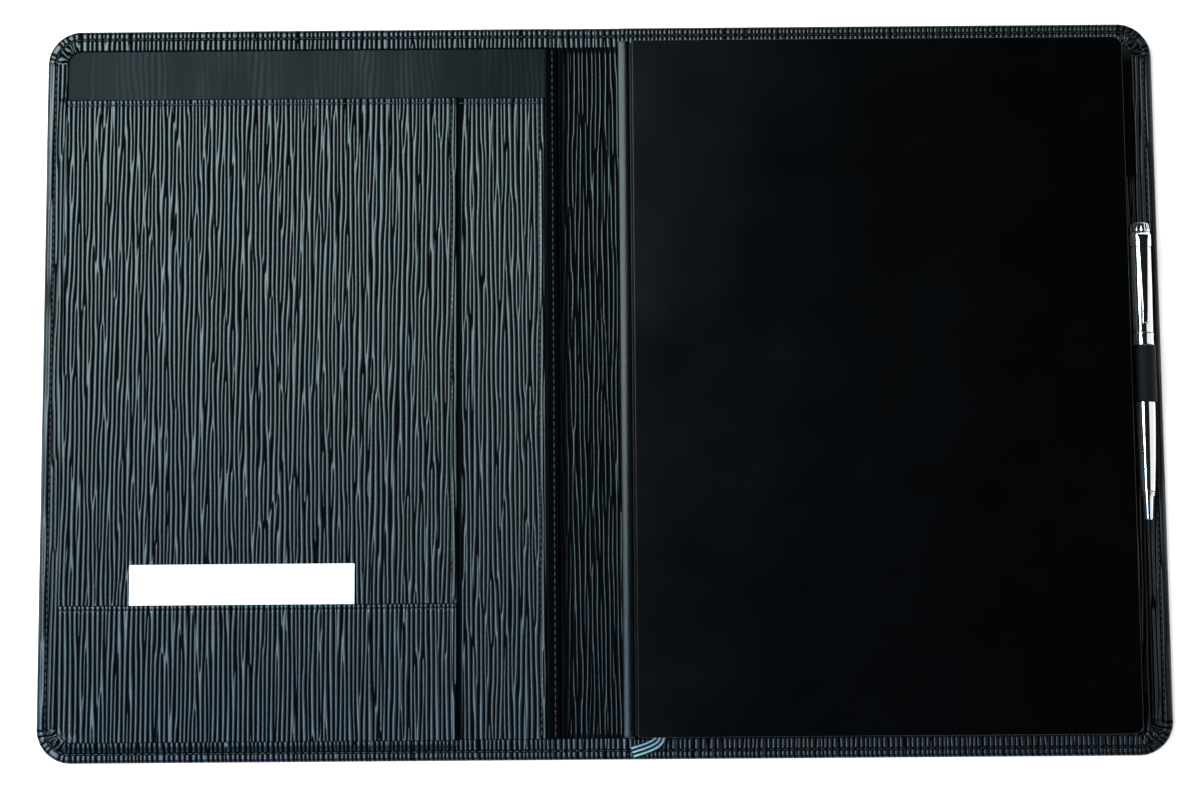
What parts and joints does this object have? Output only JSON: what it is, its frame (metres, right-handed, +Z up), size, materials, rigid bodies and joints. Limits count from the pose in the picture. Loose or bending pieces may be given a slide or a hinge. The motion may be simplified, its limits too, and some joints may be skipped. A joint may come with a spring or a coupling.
{
  "type": "leather notebook",
  "caption": "Folding grained leather cover with pockets, a case-bound book, a twist pen in its loop, a card and a ribbon marker.",
  "frame": {"origin": "middle of the open cover's underside, on the surface it lies on", "axes": "+X across the open cover towards the book's fore edge, +Y along the spine towards the head, +Z up"},
  "size_m": [0.487, 0.32, 0.0196],
  "materials": {
    "grained_leather": "deep straight grain, soft gloss",
    "spine_leather": "deep straight grain, soft gloss",
    "lining": "watered weave",
    "board": "grey board",
    "elastic": "ribbed elastic",
    "book_cloth": "fine even grain, half matt",
    "paper": "smooth, uncoated",
    "card": "smooth white card",
    "woven_band": "woven, pale stripes on the ribbon",
    "pen_chrome": "polished",
    "pen_brass": "turned",
    "refill_metal": "drawn tube"
  },
  "bodies": {
    "right_cover": {"right_outer_leather": "grained_leather", "right_board": "board", "right_lining": "lining", "right_pocket": "grained_leather", "pen_loop": "elastic", "book_back_cover": "book_cloth", "book_spine": "book_cloth", "back_endpaper": "paper", "lower_pages": "paper", "head_band": "woven_band", "tail_band": "woven_band", "ribbon_marker": "woven_band"},
    "spine": {"spine_leather": "spine_leather", "spine_strip": "spine_leather"},
    "left_cover": {"left_outer_leather": "grained_leather", "left_board": "board", "left_lining": "lining", "rear_pocket": "grained_leather", "front_pocket": "grained_leather", "card_pocket": "grained_leather"},
    "card": {"card": "card"},
    "book_front": {"book_front_cover": "book_cloth", "front_endpaper": "paper"},
    "upper_pages": {"upper_pages": "paper"},
    "pen": {"pen_lower_barrel": "pen_chrome", "pen_nose_cone": "pen_chrome", "pen_centre_ring": "pen_chrome"},
    "pen_cap": {"pen_upper_barrel": "pen_chrome", "pen_clip": "pen_chrome", "pen_finial": "pen_chrome", "pen_twist_sleeve": "pen_brass"},
    "refill": {"pen_refill": "refill_metal"}
  },
  "joints": [
    {"name": "cover_fold", "type": "hinge", "parent": "right_cover", "child": "spine", "pos_m": [0.006, 0, 0.0012], "axis": [0, 1, 0], "range_deg": [0, 90]},
    {"name": "left_cover_fold", "type": "hinge", "parent": "spine", "child": "left_cover", "pos_m": [-0.019, 0, 0.0012], "axis": [0, 1, 0], "range_deg": [0, 90]},
    {"name": "book_open", "type": "hinge", "parent": "right_cover", "child": "book_front", "pos_m": [0.0126, 0, 0.0195], "axis": [0, 1, 0], "range_deg": [-182, 0]},
    {"name": "pages_turn", "type": "hinge", "parent": "right_cover", "child": "upper_pages", "pos_m": [0.0126, 0, 0.0195], "axis": [0, 1, 0], "range_deg": [-182, 0]},
    {"name": "card_slide", "type": "slide", "parent": "left_cover", "child": "card", "axis": [0, 1, 0], "range_m": [0, 0.046]},
    {"name": "pen_slide", "type": "slide", "parent": "right_cover", "child": "pen", "axis": [0, 1, 0], "range_m": [0, 0.076]},
    {"name": "pen_twist", "type": "hinge", "parent": "pen", "child": "pen_cap", "pos_m": [0.234, 0, 0.0099], "axis": [0, 1, 0], "range_deg": [0, 90]},
    {"name": "refill_feed", "type": "slide", "parent": "pen", "child": "refill", "axis": [0, -1, 0], "range_m": [0, 0.003]}
  ],
  "couplings": [
    {"joint": "left_cover_fold", "follows": "cover_fold", "ratio": 1},
    {"joint": "pages_turn", "follows": "book_open", "ratio": 0.995},
    {"joint": "refill_feed", "follows": "pen_twist", "m_per_rad": 0.0019}
  ]
}
